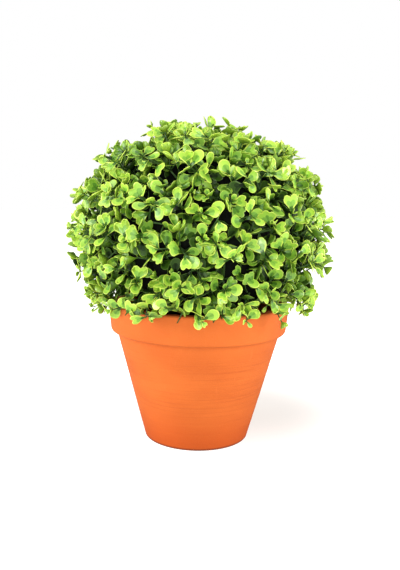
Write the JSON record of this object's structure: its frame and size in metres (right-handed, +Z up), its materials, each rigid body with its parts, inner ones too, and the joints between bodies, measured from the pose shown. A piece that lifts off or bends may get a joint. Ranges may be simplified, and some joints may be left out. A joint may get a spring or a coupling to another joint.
{
  "type": "artificial box topiary ball in a clay pot",
  "caption": "Artificial box topiary: a clipped ball of small round leaves on a short hidden stem, in a plain tapered clay pot with a straight rim band.",
  "frame": {"origin": "centre of the pot's underside, on the surface that it stands on", "axes": "+Z up; -Y towards the front that the picture shows, +X to its right"},
  "size_m": [0.1902, 0.1881, 0.2283],
  "materials": {
    "clay": "matte, unglazed",
    "filler": "rough, dark",
    "stem": "matte",
    "foliage": "satin plastic leaves"
  },
  "bodies": {
    "root": {"pot": "clay", "pot_fill": "filler", "stem": "stem", "foliage_ball": "foliage"}
  },
  "joints": []
}
